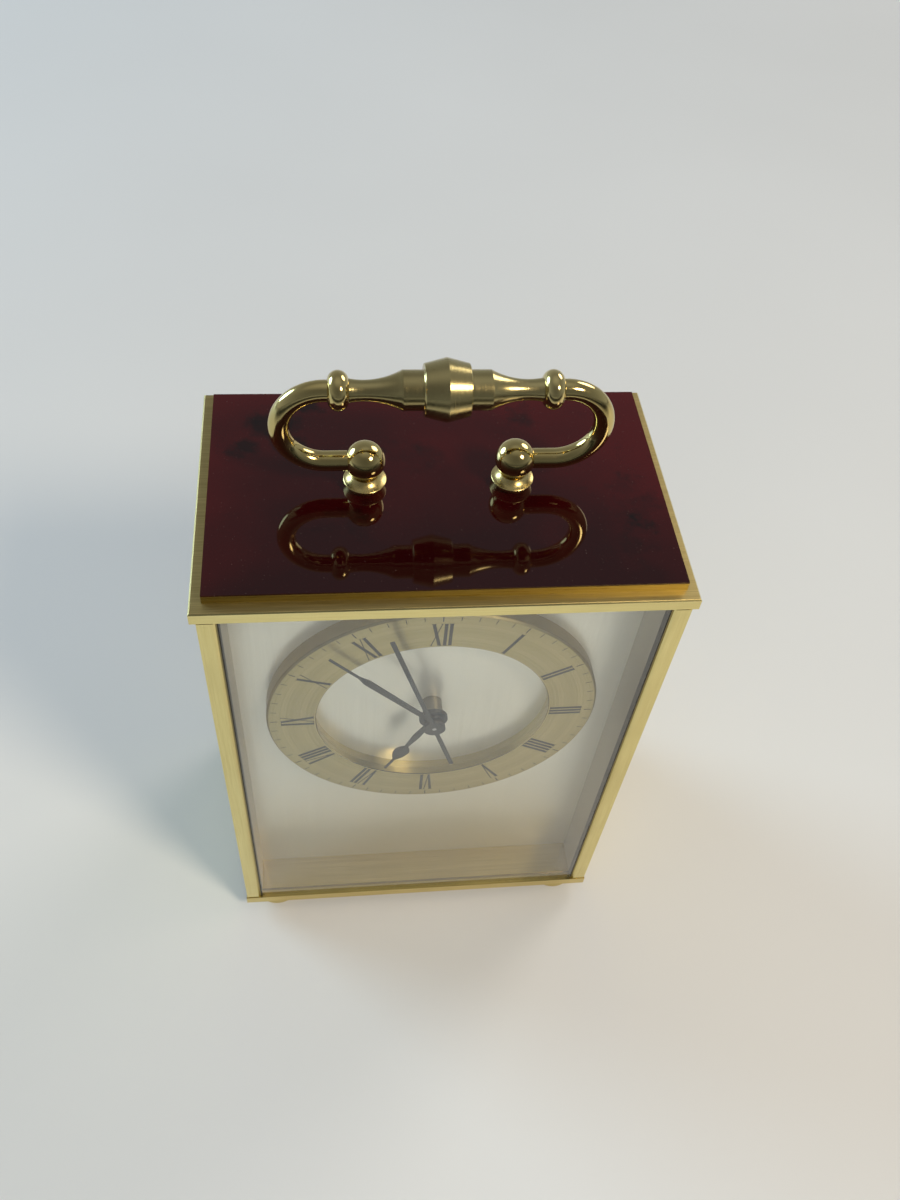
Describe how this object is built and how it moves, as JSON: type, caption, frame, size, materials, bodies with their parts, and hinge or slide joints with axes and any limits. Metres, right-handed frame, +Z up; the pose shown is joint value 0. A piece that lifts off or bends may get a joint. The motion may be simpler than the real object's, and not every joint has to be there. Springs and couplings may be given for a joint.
{
  "type": "table clock",
  "caption": "Brass carriage-style table clock: glazed box case, silver dial plate with raised Roman chapter ring, dark red lacquered top and a folding turned carrying handle",
  "frame": {"origin": "middle of the box round the clock, at the level the feet rest on", "axes": "+X to the right as the dial is read, +Y from the dial to the back, +Z up"},
  "size_m": [0.105, 0.066, 0.1797],
  "materials": {
    "polished_brass": "polished",
    "brushed_brass": "brushed",
    "lacquer": "mirror gloss, clouded dark red and black",
    "glass": "clear polished",
    "seal": "matt",
    "liner": "satin",
    "dial": "vertically brushed",
    "hand": "matt",
    "steel": "satin",
    "case_plastic": "matt",
    "wheel_plastic": "matt",
    "board": "satin",
    "chip": "matt",
    "can": "bright",
    "copper": "enamelled wire",
    "magnet": "matt",
    "cell": "gloss sleeve"
  },
  "bodies": {
    "case": {"base_plate": "polished_brass", "feet": "polished_brass", "side_wall_left": "polished_brass", "side_wall_right": "polished_brass", "top_plate": "brushed_brass", "inlay_plate": "polished_brass", "lacquer_sheet": "lacquer", "base_screws": "steel", "top_screws": "steel", "back_panel": "brushed_brass", "back_screws": "steel", "front_glass": "glass", "glass_seals": "seal", "side_liners": "liner", "dial_plate": "dial", "chapter_ring": "brushed_brass", "handle_post_left": "polished_brass", "handle_post_right": "polished_brass", "post_collar_left": "polished_brass", "post_collar_right": "polished_brass", "post_nuts": "steel", "movement_front_case": "case_plastic", "movement_back_case": "case_plastic", "movement_screws": "steel", "movement_nuts": "steel", "centre_bush": "polished_brass", "stator": "steel", "coil": "copper", "circuit_board": "board", "drive_chip": "chip", "quartz_crystal": "can", "battery": "cell", "contact_minus": "can", "contact_plus": "can"},
    "handle": {"handle_arm_left": "polished_brass", "handle_arm_right": "polished_brass", "handle_bead_left": "polished_brass", "handle_bead_right": "polished_brass", "handle_grip": "polished_brass"},
    "minute_train": {"minute_hand": "hand", "minute_pipe": "polished_brass", "centre_wheel": "wheel_plastic"},
    "hour_train": {"hour_hand": "hand", "hour_wheel": "wheel_plastic"},
    "seconds_train": {"second_hand": "hand", "seconds_arbor": "steel", "seconds_wheel": "wheel_plastic"},
    "motion_work": {"motion_wheel": "wheel_plastic"},
    "third_train": {"third_pinion": "wheel_plastic", "third_wheel": "wheel_plastic"},
    "rotor": {"rotor_pinion": "wheel_plastic", "rotor_magnet": "magnet"},
    "setting": {"setting_stem": "wheel_plastic", "setting_knob": "case_plastic"}
  },
  "joints": [
    {"name": "handle_hinge", "type": "hinge", "parent": "case", "child": "handle", "pos_m": [0, 0, 0.1542], "axis": [1, 0, 0], "range_deg": [-90, 90]},
    {"name": "minute_turn", "type": "hinge", "parent": "case", "child": "minute_train", "pos_m": [0, -0.01, 0.0916], "axis": [0, 1, 0], "continuous": true},
    {"name": "hour_turn", "type": "hinge", "parent": "case", "child": "hour_train", "pos_m": [0, -0.01, 0.0916], "axis": [0, 1, 0], "continuous": true},
    {"name": "seconds_turn", "type": "hinge", "parent": "case", "child": "seconds_train", "pos_m": [0, -0.01, 0.0916], "axis": [0, 1, 0], "continuous": true},
    {"name": "motion_turn", "type": "hinge", "parent": "case", "child": "motion_work", "pos_m": [0.009, -0.01, 0.0916], "axis": [0, 1, 0], "continuous": true},
    {"name": "third_turn", "type": "hinge", "parent": "case", "child": "third_train", "pos_m": [0, -0.01, 0.10348], "axis": [0, 1, 0], "continuous": true},
    {"name": "rotor_turn", "type": "hinge", "parent": "case", "child": "rotor", "pos_m": [-0.01135, -0.01, 0.08747], "axis": [0, 1, 0], "continuous": true},
    {"name": "setting_turn", "type": "hinge", "parent": "case", "child": "setting", "pos_m": [0.01479, -0.01, 0.08471], "axis": [0, 1, 0], "continuous": true}
  ],
  "couplings": [
    {"joint": "hour_turn", "follows": "minute_turn", "ratio": 0.083333},
    {"joint": "seconds_turn", "follows": "minute_turn", "ratio": 60},
    {"joint": "motion_turn", "follows": "minute_turn", "ratio": -0.33333},
    {"joint": "third_turn", "follows": "minute_turn", "ratio": -8},
    {"joint": "rotor_turn", "follows": "minute_turn", "ratio": -450},
    {"joint": "setting_turn", "follows": "minute_turn", "ratio": 1}
  ]
}
